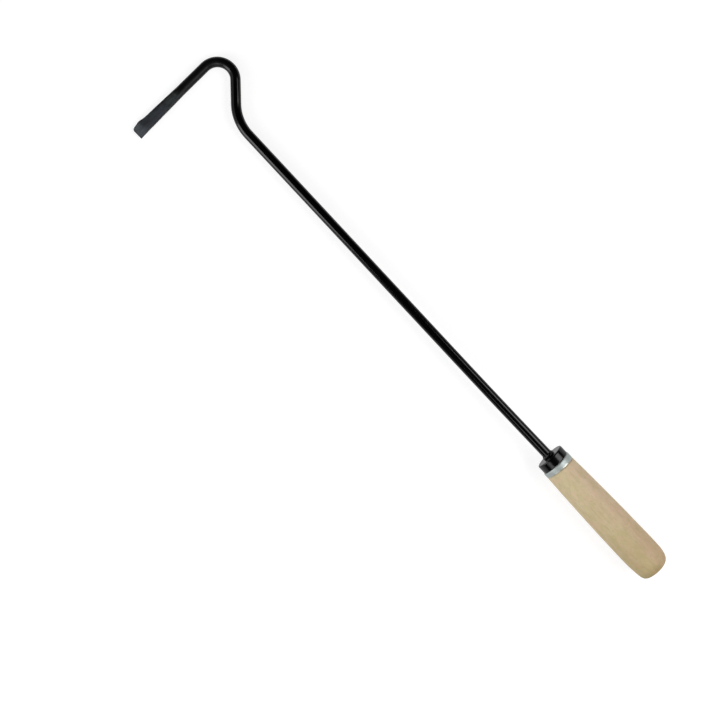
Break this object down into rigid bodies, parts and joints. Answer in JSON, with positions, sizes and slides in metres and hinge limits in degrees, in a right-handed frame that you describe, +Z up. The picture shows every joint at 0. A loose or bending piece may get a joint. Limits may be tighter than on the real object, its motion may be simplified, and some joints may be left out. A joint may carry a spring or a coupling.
{
  "type": "hooked hive tool",
  "caption": "Long hive tool: a round steel bar bent to a wide hook with a flat pressed blade, a welded stop collar, a metal ferrule and a turned wooden handle.",
  "frame": {"origin": "on the floor, under the middle of the resting tool's box", "axes": "+X along the tool towards the butt of the handle, +Y across it towards the crest of the hook, +Z up from the floor that the hook's arm and the belly of the handle rest on"},
  "size_m": [0.5786, 0.1012, 0.0319],
  "materials": {
    "black_paint": "glossy black paint over steel, duller and greyer on the pressed blade",
    "zinc_plate": "bright zinc plating with a faint bluish cast",
    "pale_wood": "turned pale hardwood, smooth sanded and unvarnished"
  },
  "bodies": {
    "root": {"hook_bar": "black_paint", "stop_collar": "black_paint", "weld_fillet": "black_paint", "ferrule": "zinc_plate", "handle": "pale_wood"}
  },
  "joints": []
}
